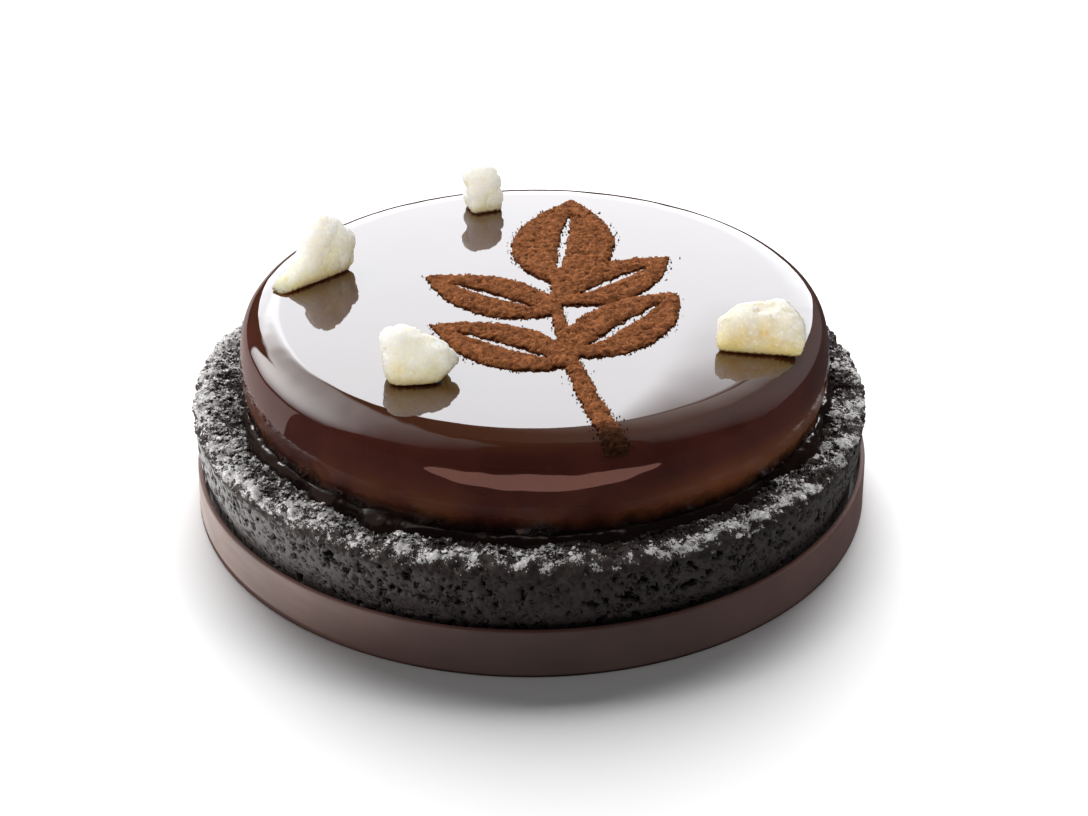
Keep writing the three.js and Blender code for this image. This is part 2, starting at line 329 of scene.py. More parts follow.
def mix(tree, share, first, second, kind="RGBA"):
    node = addNode(tree, "Mix", data_type=kind)
    feed(tree, node, {"Factor": share, "A": first, "B": second})
    return node.outputs["Result"]


def objectPlace(tree):
    return addNode(tree, "TexCoord").outputs["Object"]


def axesOf(tree, vector):
    node = addNode(tree, "SeparateXYZ")
    feed(tree, node, {0: vector})
    return node.outputs


def placeAlong(tree, axis):  # in mm
    return over(tree, axesOf(tree, objectPlace(tree))[axis], mm)


def facingUp(tree):
    return axesOf(tree, addNode(tree, "NewGeometry").outputs["Normal"])["Z"]


def painted(tree, name):
    return addNode(tree, "Attribute", attribute_name=name).outputs["Fac"]


def stretched(tree, place, scale):
    node = addNode(tree, "Mapping")
    feed(tree, node, {"Vector": place, "Scale": scale})
    return node.outputs["Vector"]


def noiseField(tree, place, size, detail=3.0, roughness=0.55, distortion=0.0):  # size in mm
    node = addNode(tree, "TexNoise")
    feed(tree, node, {"Vector": place, "Scale": 1 / (size * mm), "Detail": detail, "Roughness": roughness,
                      "Distortion": distortion})
    return node.outputs["Fac"]


def bumpNormal(tree, height, strength, distance):  # distance in mm
    node = addNode(tree, "Bump")
    feed(tree, node, {"Height": height, "Strength": strength, "Distance": distance * mm})
    return node.outputs["Normal"]


def newMaterial(name, constants):
    material = bpy.data.materials.new(name)
    material.use_nodes = True
    tree = material.node_tree
    tree.nodes.clear()
    skin = addNode(tree, "BsdfPrincipled")
    feed(tree, addNode(tree, "OutputMaterial"), {"Surface": skin.outputs["BSDF"]})
    feed(tree, skin, constants)
    return material, tree, skin


def newGroup(name, takes, gives):
    group = bpy.data.node_groups.new(name, "ShaderNodeTree")
    for label, start in takes:
        socket = group.interface.new_socket(label, in_out="INPUT", socket_type="NodeSocketFloat")
        socket.default_value = start
    for label, kind in gives:
        group.interface.new_socket(label, in_out="OUTPUT", socket_type=kind)
    return group, group.nodes.new("NodeGroupInput").outputs, group.nodes.new("NodeGroupOutput")


def placeGroup(tree, group, values):
    node = tree.nodes.new("ShaderNodeGroup")
    node.node_tree = group
    feed(tree, node, values)
    return node.outputs


# crumb: uneven dark tone and fine grain, shared by the cake and its loose crumbs

crumbLook = {
    "patchSize": 2.6, "speckSize": 0.42, "fineSize": 0.2, "speckHeight": 0.7,
    "deep": (0.016, 0.0128, 0.0118), "pale": (0.042, 0.0335, 0.031),
    "warm": (0.046, 0.029, 0.0245), "speck": (0.075, 0.06, 0.055),
}


def makeCrumbGroup():
    own = crumbLook
    group, takes, gives = newGroup("crumbGrain", [("Warmth", 0.5)],
                                   [("Colour", "NodeSocketColor"), ("Height", "NodeSocketFloat")])
    place = objectPlace(group)
    patches = noiseField(group, place, own["patchSize"])
    specks = noiseField(group, place, own["speckSize"], 4, 0.65)
    fine = noiseField(group, place, own["fineSize"], 4, 0.7)
    tone = mix(group, fade(group, patches, 0.35, 0.68), own["deep"], own["pale"])
    tone = mix(group, takes["Warmth"], tone, own["warm"])
    tone = mix(group, fade(group, specks, 0.52, 0.74), tone, own["speck"])
    height = plus(group, times(group, specks, own["speckHeight"]), fine)
    feed(group, gives, {"Colour": tone, "Height": height})
    return group


# icing sugar: a broken white dusting that lies on what faces up

sugarLook = {
    "clumpSize": 0.8, "clumpShare": 0.38, "fleckSize": 0.3, "fleckShare": 0.42, "powderSize": 0.12,
    "powderShare": 0.2, "bareAbove": 0.82, "reach": 0.42, "edge": (-0.008, 0.016),
    "thick": 0.92, "veil": 0.2, "facing": (0.1, 0.7),
}


def makeSugarGroup():
    own = sugarLook
    group, takes, gives = newGroup("icingDust", [("Amount", 0.5), ("Up", 1.0)],
                                   [("Mask", "NodeSocketFloat")])
    place = objectPlace(group)
    clumps = noiseField(group, place, own["clumpSize"], 5, 0.75)
    flecks = noiseField(group, place, own["fleckSize"], 3, 0.6)
    powder = noiseField(group, place, own["powderSize"], 2, 0.6)
    broken = timesPlus(group, clumps, own["clumpShare"], times(group, flecks, own["fleckShare"]))
    broken = timesPlus(group, powder, own["powderShare"], broken)
    level = minus(group, own["bareAbove"], times(group, takes["Amount"], own["reach"]))
    thick = fade(group, minus(group, broken, level), *own["edge"])
    paleShare = times(group, times(group, takes["Amount"], takes["Amount"]), own["veil"])
    veil = times(group, fade(group, powder, 0.3, 0.75), paleShare)
    lying = larger(group, times(group, thick, own["thick"]), veil)
    feed(group, gives, {"Mask": times(group, lying, fade(group, takes["Up"], *own["facing"]))})
    return group


crumbGroup = makeCrumbGroup()
sugarGroup = makeSugarGroup()


# chocolate band

bandSettings = {
    "radius": 43.3, "lean": 0.25, "wall": 0.7, "height": 6.0, "tilt": 0.007,
    "waveHeight": 0.1, "waves": 3, "wavePhase": 0.6, "softEdge": 0.17, "steps": 288,
    "handSize": 13.0, "handDepth": 0.1, "offFloor": (0.2, 2.0),
    "deep": (0.098, 0.0375, 0.0275), "light": (0.126, 0.0505, 0.0375), "bloom": (0.124, 0.063, 0.05),
    "streaks": (1, 1, 7), "roughness": (0.5, 0.6),
}


def bandChocolate():
    own = bandSettings
    material, tree, skin = newMaterial("bandChocolate", {"IOR": 1.82})
    place = objectPlace(tree)
    clouds = noiseField(tree, place, 9.0, 2)
    brushed = noiseField(tree, stretched(tree, place, own["streaks"]), 6.0, 4, 0.6)  # streaks round it
    fine = noiseField(tree, place, 0.35, 3, 0.6)
    tone = mix(tree, fade(tree, clouds, 0.3, 0.7), own["deep"], own["light"])
    rough = fade(tree, brushed, 0.3, 0.7, *own["roughness"])
    relief = plus(tree, times(tree, brushed, 0.6), times(tree, fine, 0.4))
    feed(tree, skin, {
        "Base Color": mix(tree, fade(tree, brushed, 0.45, 0.75, 0, 0.5), tone, own["bloom"]),
        "Roughness": plus(tree, rough, times(tree, fine, 0.05)),
        "Normal": bumpNormal(tree, relief, 0.25, 0.05),
    })
    return material


def makeBand():
    own = bandSettings
    outer, height, wall = own["radius"], own["height"], own["wall"]
    outerTop = outer - own["lean"]
    profile = [(outer - wall, 0.0), (outer, 0.0), (outer - 0.5 * own["lean"], 0.5 * height),
               (outerTop, height), (outerTop - wall, height)]
    band = turnProfile("chocolate_band_soft", profile, own["steps"], closed=True)
    applyModifier(band, "softEdge", "BEVEL", width=own["softEdge"] * mm, segments=3, limit_method="ANGLE",
                  angle_limit=math.radians(40))
    points = readPoints(band)
    angle = np.arctan2(points[:, 1], points[:, 0])
    wave = own["waveHeight"] * np.sin(own["waves"] * angle + own["wavePhase"])
    points[:, 2] += points[:, 2] / height * (own["tilt"] * points[:, 0] + wave)
    writePoints(band, points)
    setGroup(band, "offFloor", ease(points[:, 2], *own["offFloor"]))
    displace(band, makeTexture("handWork", "CLOUDS", own["handSize"]), own["handDepth"], group="offFloor")
    finishPiece(band, bandChocolate(), "band_chocolate", "chocolate_band")


makeBand()


# brownie base

cakeSettings = {
    "radius": 42.6, "footRadius": 41.7, "shift": -0.2, "seat": 13.9, "rim": 14.4, "footEdge": 0.8,
    "seatRadius": 38.1, "ringInner": 34.2, "rimRounding": 1.2, "rimCut": 0.42,
    "flareHeights": (5.8, 9.0), "hiddenTop": 5.0,
    "steps": 280, "sideRows": 9, "ringRows": 7, "fineCuts": 3, "smoothPasses": 6,
    "formHeights": (5.4, 6.4), "formRadii": (34.3, 35.2), "raggedSize": 2.4, "raggedDepth": 0.5,
    "ringHeights": (12.3, 13.4), "ringRadii": (34.6, 36.2), "sideHeights": (5.0, 5.4),
    "sideRadii": (38.0, 40.0), "denseSize": 5.0,
    "cutDeep": (0.03, 0.0235, 0.0218), "cutPale": (0.052, 0.042, 0.039),
    # the hole and pit colours are painted shade, near black in the pits and sunken places
    "cutSpeck": (0.085, 0.069, 0.064), "holeShade": (0.003, 0.0024, 0.0022), "pit": (0.0025, 0.002, 0.0019),
    "icing": ((0.58, 0.565, 0.56), (0.86, 0.84, 0.83)), "shine": 0.42, "pitShine": 0.03,
}
crumbRamp = [(0.0, 1.0), (0.35, 0.86), (0.62, 0.4), (0.95, 0.0)]
crumbLayers = [  # texture name, kind, size and depth in mm, ramp
    ("bigCrumbs", "VORONOI", 1.45, 0.55, crumbRamp),
    ("midCrumbs", "VORONOI", 0.66, 0.46, crumbRamp),
    ("fineCrumbs", "CLOUDS", 0.36, 0.28, None),
]
pitLayers = [
    ("pits", "CLOUDS", 0.95, -0.7, [(0.0, 0.0), (0.655, 0.0), (0.675, 1.0)]),
    ("pores", "CLOUDS", 0.5, -0.45, [(0.0, 0.0), (0.66, 0.0), (0.685, 1.0)]),
    ("cutGrain", "CLOUDS", 0.8, -0.05, None),
]
dusting = {  # shares of icing sugar, and where they start and end in mm
    "base": 0.4, "left": 0.29, "right": 0.13, "rim": 0.08, "rightRim": 0.12, "tops": 0.26, "most": 1.2,
    "leftFrom": (-8.0, 30.0), "rightFrom": (8.0, 30.0), "topsFrom": (13.9, 15.0), "rimFrom": (39.2, 41.2),
    "rimTo": (-43.2, -42.4), "rightRimFrom": (40.2, 41.6), "rightRimAcross": (4.0, 22.0),
    "rightRimFront": (-12.0, 4.0), "evenLeft": 0.5, "lowLeft": 0.35,
}


def cakeProfile():
    own = cakeSettings
    rim, foot, inner = own["rim"], own["footRadius"], own["ringInner"]
    sideTop = rim - own["rimRounding"]
    ringOuter = own["radius"] - own["rimRounding"]
    profile = [(0.0, 0.0), (foot - own["footEdge"], 0.0), (foot, own["footEdge"])]
    for row in range(own["sideRows"] + 1):
        height = own["hiddenTop"] + (sideTop - own["hiddenTop"]) * row / own["sideRows"]
        flare = float(ease(np.array(height), *own["flareHeights"]))
        profile.append((foot + flare * (own["radius"] - foot), height))
    profile.append((own["radius"] - own["rimCut"], rim - own["rimCut"]))
    for row in range(own["ringRows"] + 1):
        radius = ringOuter + (inner - ringOuter) * row / own["ringRows"]
        rise = float(ease(np.array(radius), own["seatRadius"], ringOuter))
        profile.append((radius, own["seat"] + rise * (rim - own["seat"])))
    profile.append((0.0, own["seat"]))
    return profile


def sugarAmount(points):  # where the dusting is thick: the left, the rim and the tops of the crumbs
    own = dusting
    x, y, z = points.T
    radius = radiusFrom(points)
    left = ease(-x, *own["leftFrom"])
    right = ease(x, *own["rightFrom"])
    patches = 0.38 * noiseAt(points, 4.2, 3) + 0.34 * noiseAt(points, 1.7, 8)
    patches = patches * (1 - own["evenLeft"] * left) + 0.34 * noiseAt(points, 0.9, 12)
    rim = ease(radius, *own["rimFrom"]) * ease(-radius, *own["rimTo"])
    rightRim = ease(x, *own["rightRimAcross"]) * ease(radius, *own["rightRimFrom"])
    rightRim *= ease(-y, *own["rightRimFront"]) * ease(noiseAt(points, 3.2, 15), -0.25, 0.2)
    tops = ease(z, *own["topsFrom"]) * (1 - own["lowLeft"] * left)
    amount = own["base"] + patches + own["left"] * left + own["right"] * right
    amount += own["rim"] * rim + own["rightRim"] * rightRim + own["tops"] * tops
    return np.clip(amount, 0, own["most"])


def cakeCrumb():
    own = cakeSettings
    material, tree, skin = newMaterial("cakeCrumb", {"IOR": 1.45, "Specular IOR Level": own["shine"]})
    place = objectPlace(tree)
    ring, depth, sugar = (painted(tree, name) for name in ("ringPart", "sunkBy", "sugarPart"))
    side = noiseField(tree, place, 1.3, 4, 0.6)
    grit = noiseField(tree, place, 0.36, 4, 0.7)
    patch = minus(tree, noiseField(tree, place, 4.0, 2), 0.5)
    large = timesPlus(tree, patch, 0.3, noiseField(tree, place, 1.0, 4, 0.62, 0.8))
    small = timesPlus(tree, patch, 0.25, noiseField(tree, place, 0.52, 3, 0.6, 1.2))
    holes = larger(tree, fade(tree, large, 0.635, 0.648), fade(tree, small, 0.6, 0.615))
    sunkShade = fade(tree, depth, 0.12, 0.4)
    cut = mix(tree, fade(tree, side, 0.35, 0.7), own["cutDeep"], own["cutPale"])
    cut = mix(tree, fade(tree, grit, 0.54, 0.72, 0, 0.6), cut, own["cutSpeck"])
    # painted shade: the holes in the cut side are coloured near black
    cut = mix(tree, times(tree, holes, 0.92), cut, own["holeShade"])
    crumb = placeGroup(tree, crumbGroup, {"Warmth": times(tree, ring, 0.3)})
    tone = mix(tree, ring, cut, crumb["Colour"])
    # painted shade: sunken places, pits and the gaps between crumbs are coloured near black
    tone = mix(tree, times(tree, sunkShade, 0.85), tone, own["pit"])
    dust = placeGroup(tree, sugarGroup, {"Amount": sugar, "Up": facingUp(tree)})
    white = times(tree, dust["Mask"], ring)
    icing = mix(tree, fade(tree, grit, 0.38, 0.62), *own["icing"])
    hollow = times(tree, larger(tree, holes, sunkShade), minus(tree, 1.0, ring))
    rough = plus(tree, 0.27, times(tree, ring, 0.57))
    cutHeight = plus(tree, times(tree, side, 0.2), times(tree, grit, 0.42))
    cutHeight = minus(tree, cutHeight, times(tree, holes, 1.2))
    height = mix(tree, ring, cutHeight, crumb["Height"], "FLOAT")
    feed(tree, skin, {
        "Base Color": mix(tree, white, tone, icing),
        "Roughness": plus(tree, rough, times(tree, grit, 0.16)),
        "Specular IOR Level": fade(tree, hollow, 0, 1, own["shine"], own["pitShine"]),  # dull pits
        "Normal": bumpNormal(tree, height, 0.8, 0.22),
    })
    return material


def makeCake():
    own = cakeSettings
    cake = turnProfile("brownie_base_crumb", cakeProfile(), own["steps"], own["shift"])
    centres = np.array([face.center for face in cake.data.polygons]) / mm
    shown = (centres[:, 2] > own["hiddenTop"]) & (radiusFrom(centres, own["shift"]) > own["ringInner"])
    cutFiner(cake, shown, own["fineCuts"])

    solid = nodeCopy("brownie_base", "brownieForm")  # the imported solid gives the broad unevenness
    points = readPoints(cake)
    radius = radiusFrom(points, own["shift"])
    setGroup(cake, "onForm", ease(points[:, 2], *own["formHeights"]) * ease(radius, *own["formRadii"]))
    applyModifier(cake, "onForm", "SHRINKWRAP", target=solid, wrap_method="NEAREST_SURFACEPOINT",
                  vertex_group="onForm")
    applyModifier(cake, "soften", "SMOOTH", factor=0.5, iterations=own["smoothPasses"],
                  vertex_group="onForm")
    bpy.data.objects.remove(solid)

    smooth = readPoints(cake)
    height = smooth[:, 2]
    radius = radiusFrom(smooth, own["shift"])
    ragged = own["raggedDepth"] * noiseAt(smooth, own["raggedSize"], 1)
    ring = ease(height + ragged, *own["ringHeights"]) * ease(radius, *own["ringRadii"])
    dense = 0.5 + 0.5 * ease(noiseAt(smooth, own["denseSize"], 21), -0.3, 0.3)  # fewer pits in places
    side = (1 - ring) * ease(height, *own["sideHeights"]) * ease(radius, *own["sideRadii"]) * dense
    setGroup(cake, "ring", ring)
    setGroup(cake, "side", side)
    displaceLayers(cake, pitLayers, 0.0, "side", noise_depth=3)
    displaceLayers(cake, crumbLayers, group="ring")
    points = readPoints(cake)
    sunkShade = np.einsum("ij,ij->i", smooth - points, readVectors(cake, "normal"))
    setAttribute(cake, "ringPart", ring)
    setAttribute(cake, "sunkBy", np.clip(np.where(ring > 0.5, height - points[:, 2], sunkShade), 0, 2))
    setAttribute(cake, "sugarPart", sugarAmount(points) * (ring > 0.05))
    finishPiece(cake, cakeCrumb(), "brownie_crumb", "brownie_base")
    return cake


cake = makeCake()


# glazed dome

domeSettings = {
    "shift": 0.45, "radius": 37.1, "footRadius": 36.0, "seat": 13.9, "top": 25.6, "widest": 19.0,
    "sideArc": 17.0, "sideTurns": (7, 16), "shoulderArc": 12.0, "shoulderTurn": 78,
    "steps": 360, "rows": (28, 10, 22, 8), "plateauRows": 5,
    "puddleRise": 2.4, "skirt": 0.45, "skirtSize": 1.6, "wobbleSize": 5.5, "wobbleDepth": 0.09,
    "edgeRadii": (31.5, 34.5), "edgeHeights": (16.0, 19.0),
    "deep": ((0.066, 0.0155, 0.0108), (0.1, 0.025, 0.0175)), "topTone": (0.07, 0.022, 0.01),
    # the amber colours are a painted glow, as if light shone through the lower flank
    "amber": ((0.15, 0.05, 0.02), (0.26, 0.09, 0.033)), "pooled": (0.013, 0.0065, 0.005),
}
puddles = [  # angle in degrees, reach in mm, spread in degrees
    (-152, 0.4, 13), (-130, 0.6, 5), (-116, 1.0, 6), (-93, 0.4, 9), (-76, 0.5, 5), (-53, 0.4, 6),
    (-29, 0.7, 7), (-6, 0.4, 8), (38, 0.7, 6), (71, 0.4, 5), (104, 0.8, 7), (141, 0.5, 6), (172, 0.4, 6),
]


def puddleReach(across):  # how far the puddles run, and the angle, for places seen from the dome's centre
    angle = np.degrees(np.arctan2(across[:, 1], across[:, 0]))
    reach = np.zeros(len(across))
    for place, length, width in puddles:
        away = np.abs((angle - place + 180) % 360 - 180)
        reach = np.maximum(reach, length * np.exp(-((away / width) ** 2)))
    return reach, np.radians(angle)


def roundNoise(turn, radius, size, seed):  # from 0 to 2, the same all the way up
    circle = np.column_stack([np.cos(turn), np.sin(turn), turn * 0]) * radius
    return 1 + noiseAt(circle, size, seed)


def domeArcs():  # radius and height of the centre, size, first and last turn of the arcs up the outside
    own = domeSettings
    drop = own["widest"] - own["seat"]
    footTurn = 2 * math.atan2(own["radius"] - own["footRadius"], drop)
    start, end = (math.radians(turn) for turn in own["sideTurns"])
    last = math.radians(own["shoulderTurn"])
    tuck, upright, crown = drop / math.sin(footTurn), own["sideArc"], own["shoulderArc"]
    arcs = [(own["radius"] - tuck, own["widest"], tuck, -footTurn, start)]
    sideTop = own["widest"] + tuck * math.sin(start) + upright * (math.sin(end) - math.sin(start))
    edge = (own["top"] - sideTop - crown * (1 - math.sin(last))) / (math.sin(last) - math.sin(end))
    for size, turn, goal in ((upright, start, end), (edge, end, last), (crown, last, math.pi / 2)):
        middle, height, before = arcs[-1][:3]
        step = before - size
        arcs.append((middle + step * math.cos(turn), height + step * math.sin(turn), size, turn, goal))
    return arcs


def arcHeight(arc, radius, reach):
    return arc[1] + np.sqrt(arc[2] ** 2 - np.clip(radius - arc[0], 0, reach * arc[2]) ** 2)


def domeHeight(radius):  # height of the glaze above one radius from the dome's centre
    edge, crown = domeArcs()[2:]
    onCrown = arcHeight(crown, radius, math.cos(crown[3]))
    return np.where(radius < edge[0] + edge[2] * math.cos(edge[4]), onCrown, arcHeight(edge, radius, 0.97))


def mirrorGlaze():
    own = domeSettings
    material, tree, skin = newMaterial("mirrorGlaze", {"IOR": 1.9})
    place = objectPlace(tree)
    height = placeAlong(tree, "Z")
    deep = mix(tree, fade(tree, noiseField(tree, place, 8.0, 2), 0.3, 0.7), *own["deep"])
    deep = mix(tree, fade(tree, height, 24.2, 25.5), deep, own["topTone"])
    right = fade(tree, placeAlong(tree, "X"), 3.0, 22.0)
    honey = fade(tree, noiseField(tree, place, 7.5, 2), 0.4, 0.68)
    honey = larger(tree, honey, times(tree, right, 0.8))
    paleShare = times(tree, honey, fade(tree, height, 21.5, 17.0))  # painted glow: lighter and amber low on the flank, most on the right, as if light shone through the glaze
    tone = mix(tree, paleShare, deep, mix(tree, right, *own["amber"]))
    ragged = times(tree, noiseField(tree, place, 3.2, 2), 3.0)
    foot = fade(tree, minus(tree, height, ragged), 13.4, 16.2)  # dark where it has pooled
    dulled = times(tree, fade(tree, height, 19.6, 18.0), foot)
    feed(tree, skin, {
        "Base Color": mix(tree, foot, own["pooled"], tone),
        "Roughness": plus(tree, 0.03, times(tree, dulled, 0.3)),
        "Specular IOR Level": fade(tree, height, 18.4, 19.6, 0.16, 0.5),
        "Normal": bumpNormal(tree, noiseField(tree, place, 11.0, 1), 0.12, 0.25),
    })
    return material


def makeDome():
    own = domeSettings
    profile = [(0.0, own["seat"]), (own["footRadius"], own["seat"])]
    for (middle, height, size, start, end), rows in zip(domeArcs(), own["rows"]):
        for row in range(1, rows + 1):
            turn = start + (end - start) * row / rows
            profile.append((middle + size * math.cos(turn), height + size * math.sin(turn)))
    inner = profile[-1][0]
    for row in range(1, own["plateauRows"] + 1):
        profile.append((inner * (1 - row / own["plateauRows"]), own["top"]))
    dome = turnProfile("glazed_dome_mirror", profile, own["steps"], own["shift"])

    points = readPoints(dome)  # glaze that has run out at the foot
    across = points[:, :2] - (own["shift"], 0)
    radius = np.maximum(radiusFrom(across), 1e-6)
    spread = ease(own["seat"] - points[:, 2], -own["puddleRise"], 0)
    reach, turn = puddleReach(across)
    reach += own["skirt"] * roundNoise(turn, own["footRadius"], own["skirtSize"], 4)
    grow = 1 + np.where(radius > 1, spread * np.maximum(reach, 0) / radius, 0)
    points[:, :2] = across * grow[:, None] + (own["shift"], 0)
    writePoints(dome, points)
    setGroup(dome, "onEdge", ease(radius, *own["edgeRadii"]) * ease(points[:, 2], *own["edgeHeights"]))
    wobble = makeTexture("glazeWobble", "CLOUDS", own["wobbleSize"])
    displace(dome, wobble, own["wobbleDepth"], group="onEdge")
    finishPiece(dome, mirrorGlaze(), "mirror_glaze", "glazed_dome")


makeDome()


# glaze that has run out over the ring

runSettings = {
    "inner": 36.5, "hidden": 35.4, "bottom": 13.4, "rise": 1.1, "thicken": 0.4, "least": 0.3, "lobe": 2.2,
    "uneven": 0.5, "unevenSize": 1.7, "steps": 540, "rows": 10, "dimpleSize": 1.2, "dimpleDepth": 0.3,
    "tones": ((0.019, 0.01, 0.008), (0.036, 0.019, 0.0155)), "roughness": (0.12, 0.22),
}


def runReach(across):  # how far the glaze has run past the dome's foot
    own = runSettings
    lobes, turn = puddleReach(across)
    ragged = own["uneven"] * roundNoise(turn, own["inner"], own["unevenSize"], 9)
    return own["least"] + own["lobe"] * lobes + ragged


def pooledGlaze():
    own = runSettings
    material, tree, skin = newMaterial("pooledGlaze", {"IOR": 1.5})
    place = objectPlace(tree)
    feed(tree, skin, {
        "Base Color": mix(tree, noiseField(tree, place, 2.5, 2), *own["tones"]),
        "Roughness": fade(tree, noiseField(tree, place, 1.2, 3), 0.35, 0.65, *own["roughness"]),
        "Normal": bumpNormal(tree, noiseField(tree, place, 0.8, 2), 0.3, 0.15),
    })
    return material


def makeRun():
    own = runSettings
    shift, inner, bottom, rise = domeSettings["shift"], own["inner"], own["bottom"], own["rise"]
    profile = [(own["hidden"], bottom), (own["hidden"], bottom + rise)]
    for row in range(own["rows"] + 1):
        turn = math.pi / 2 * row / own["rows"]
        profile.append((inner + math.sin(turn), bottom + rise * math.cos(turn)))
    run = turnProfile("glaze_run", profile, own["steps"], shift, closed=True)
    points = readPoints(run)
    across = points[:, :2] - (shift, 0)
    radius = radiusFrom(across)
    reach = runReach(across)
    past = np.maximum(radius - inner, 0)
    points[:, :2] += across / radius[:, None] * (past * (reach - 1))[:, None]
    points[:, 2] += (points[:, 2] - bottom) / rise * own["thicken"] * (reach - own["least"])
    writePoints(run, points)
    displace(run, makeTexture("runDimples", "CLOUDS", own["dimpleSize"]), own["dimpleDepth"])
    finishPiece(run, pooledGlaze(), "mirror_glaze")


makeRun()


# loose crumbs and grains of icing sugar on the ring

looseSettings = {
    "crumbs": 2300, "crumbSize": (0.2, 0.72), "crumbLean": (1.3, 3.2), "crumbReach": 41.2,
    "crumbLift": 0.22,
    "sugars": 8500, "sugarSize": (0.06, 0.2), "sugarLean": (1.2, 2.6), "sugarLift": 0.3, "sugarStray": 0.1,
    "sugarPull": 3, "clear": 0.15, "above": 13.2, "facing": (0.1, 0.7), "seed": 41,
    "crumbIcing": (0.8, 0.78, 0.77), "sugarTones": ((0.58, 0.565, 0.56), (0.84, 0.82, 0.81)),
}


def looseCrumb():
    material, tree, skin = newMaterial("looseCrumb", {"Specular IOR Level": 0.4, "Roughness": 0.85})
    crumb = placeGroup(tree, crumbGroup, {"Warmth": 0.35})
    dust = placeGroup(tree, sugarGroup, {"Amount": painted(tree, "sugarPart"), "Up": facingUp(tree)})
    feed(tree, skin, {
        "Base Color": mix(tree, dust["Mask"], crumb["Colour"], looseSettings["crumbIcing"]),
        "Normal": bumpNormal(tree, crumb["Height"], 0.5, 0.14),
    })
    return material


def icingSugar():
    material, tree, skin = newMaterial("icingSugar", {"Specular IOR Level": 0.3, "Roughness": 0.8})
    place = objectPlace(tree)
    feed(tree, skin, {
        "Base Color": mix(tree, noiseField(tree, place, 0.8, 3), *looseSettings["sugarTones"]),
        "Normal": bumpNormal(tree, noiseField(tree, place, 0.06, 2), 0.4, 0.03),
    })
    return material


def makeLoose():
    own = looseSettings
    rng = np.random.default_rng(own["seed"])
    points = readPoints(cake)
    normals = readVectors(cake, "normal")
    across = points[:, :2] - (domeSettings["shift"], 0)
    dry = radiusFrom(across) > runSettings["inner"] + runReach(across) + own["clear"]
    onRing = np.flatnonzero((points[:, 2] > own["above"]) & dry & (normals[:, 2] > own["facing"][0]))

    lumps = modelLumps("crumbLump", 5, 0.5, 0.42, 2)
    within = radiusFrom(points[onRing], cakeSettings["shift"]) < own["crumbReach"]
    spots = rng.choice(onRing[within], own["crumbs"], replace=False)
    size = someSizes(rng, own["crumbSize"], own["crumbLean"], len(spots))
    places = points[spots] + normals[spots] * (own["crumbLift"] * size)[:, None]
    crumbs = scatterLumps("brownie_crumbs", lumps, places, size, rng)
    setAttribute(crumbs, "sugarPart", sugarAmount(readPoints(crumbs)))
    finishPiece(crumbs, looseCrumb(), "brownie_crumb")

    specks = modelLumps("sugarSpeck", 3, 0.3, 0.5, 1)
    weight = sugarAmount(points[onRing]) ** own["sugarPull"] * ease(normals[onRing, 2], *own["facing"])
    spots = rng.choice(onRing, own["sugars"], replace=True, p=weight / weight.sum())
    size = someSizes(rng, own["sugarSize"], own["sugarLean"], len(spots))
    places = points[spots] + rng.normal(0, own["sugarStray"], (len(spots), 3)) * (1, 1, 0)
    places += normals[spots] * (own["sugarLift"] * size)[:, None]
    sugar = scatterLumps("icing_sugar", specks, places, size, rng)
    finishPiece(sugar, icingSugar(), "brownie_crumb")


makeLoose()


# cocoa sprig, dusted on the glaze

sprigSettings = {
    "stem": [(8.8, -34.4), (2.6, -16.0), (2.6, 3.4)], "stemHalf": (1.6, 0.75), "stemSteps": 40,
    "veinFrom": 0.16, "veinTo": 0.8, "veinHalf": 0.42,
    "leafFoot": (0.18, 1.15), "leafTip": (0.62, 1.35), "leafSteps": 40,
    "low": (-22.0, -37.0), "high": (27.0, 33.0), "cell": 0.24, "reach": 36.4, "ragged": 0.2,
    "raggedFrom": -0.14, "depth": 0.45, "edgeDepth": 0.16, "heapWidth": 0.9, "steep": 0.8, "steepCuts": 2,
    "gap": 0.04, "body": 0.3,
    "grains": 1500, "grainSize": (0.09, 0.28), "grainLean": (1.2, 3.0), "grainLift": 0.3,
    "grainReach": 36.0, "tries": 90000, "stray": 0.25, "strayReach": 0.16, "fewInside": 0.1, "seed": 17,
    "deep": (0.27, 0.09, 0.031), "light": (0.6, 0.22, 0.082), "speck": (0.74, 0.31, 0.13),
    # the sunk colour is painted shade in the hollows between cocoa clumps
    "sunkShade": (0.085, 0.027, 0.01), "loose": (0.1, 0.04, 0.02), "wet": (0.05, 0.02, 0.01),
}
sprigLeaves = [  # place along the stem, turn in degrees, length and width in mm
    (1.0, -6, 26.5, 14.8), (0.45, 49, 20, 11), (0.5, -49, 22, 11.8), (0.79, 54, 20, 10.8),
    (0.86, -51, 20, 10.8),
]
cocoaRamp = [(0.0, 1.0), (0.35, 0.85), (0.65, 0.3), (0.95, 0.0)]
cocoaLayers = [  # texture name, kind, size and depth in mm, ramp
    ("cocoaClumps", "VORONOI", 0.66, 0.26, cocoaRamp),
    ("cocoaGrains", "VORONOI", 0.38, 0.22, cocoaRamp),
]
heapLayers = [("cocoaHeaps", "CLOUDS", 1.6, 0.2, None)]


def stemSpot(along):
    start, bend, end = (np.array(p) for p in sprigSettings["stem"])
    spot = (1 - along) ** 2 * start + 2 * along * (1 - along) * bend + along ** 2 * end
    heading = 2 * (1 - along) * (bend - start) + 2 * along * (end - bend)
    return spot, heading / np.linalg.norm(heading)


